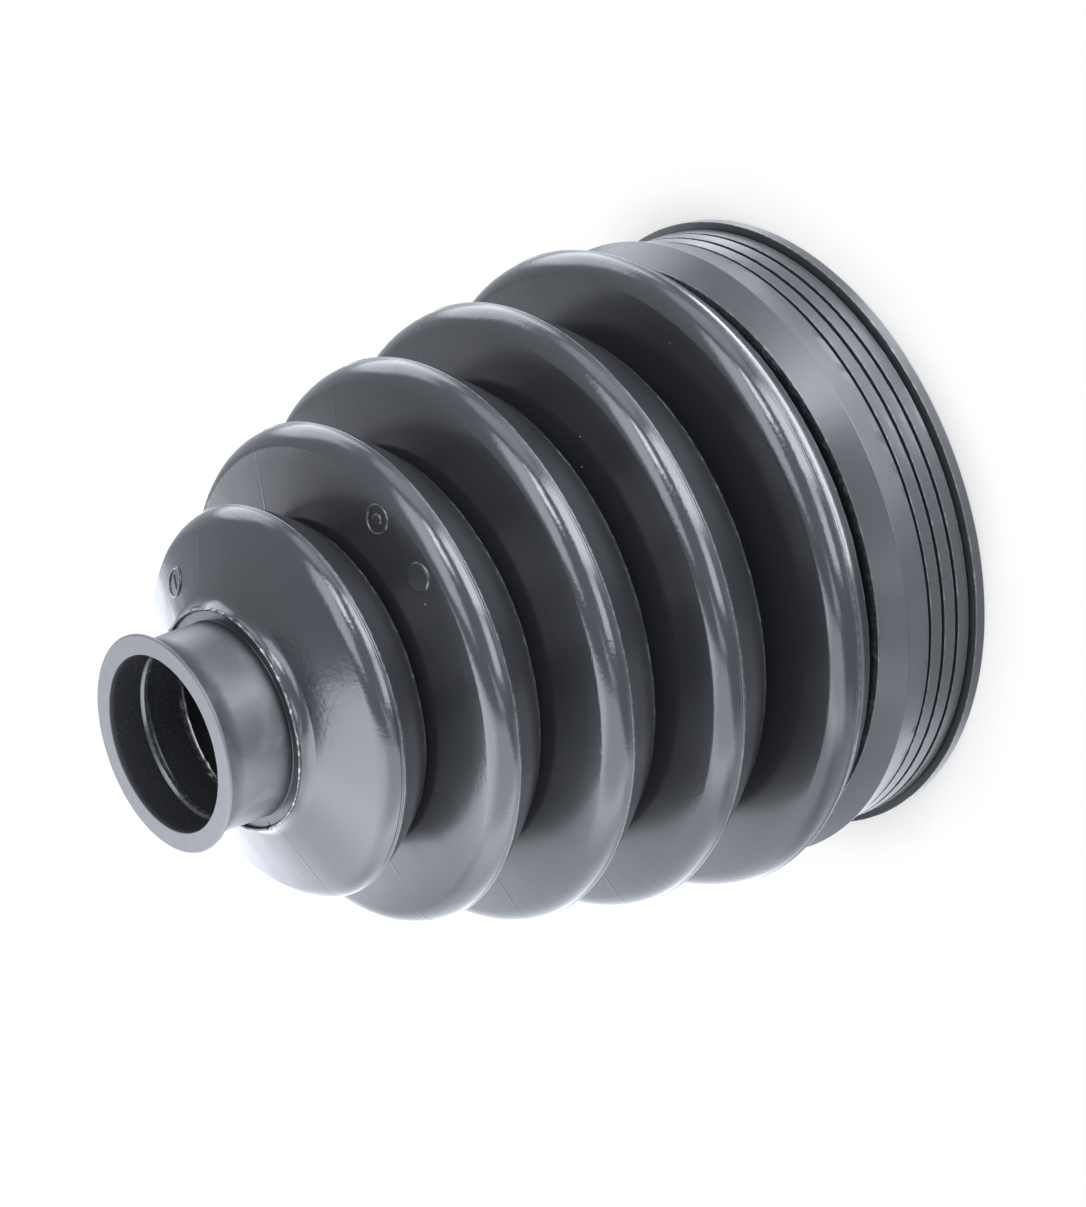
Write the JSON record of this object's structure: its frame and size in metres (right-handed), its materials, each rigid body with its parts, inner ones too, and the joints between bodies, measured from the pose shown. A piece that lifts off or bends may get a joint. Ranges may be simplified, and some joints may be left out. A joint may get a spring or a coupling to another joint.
{
  "type": "rubber bellows boot",
  "caption": "Tapered rubber bellows boot with a small clamped neck at one end and a wide ribbed collar at the other, to seal grease in a joint that bends.",
  "frame": {"origin": "centre of the large end face, on which the boot stands", "axes": "+Z along the boot's axis, from the large end to the small end; +X lies in the plane of the mould seam; +Y completes the right-handed frame"},
  "size_m": [0.0942, 0.0942, 0.1082],
  "materials": {
    "rubber": "satin moulded black rubber, glossier on the folds, greyer and matte on the neck"
  },
  "bodies": {
    "root": {"bellows_boot": "rubber"}
  },
  "joints": []
}
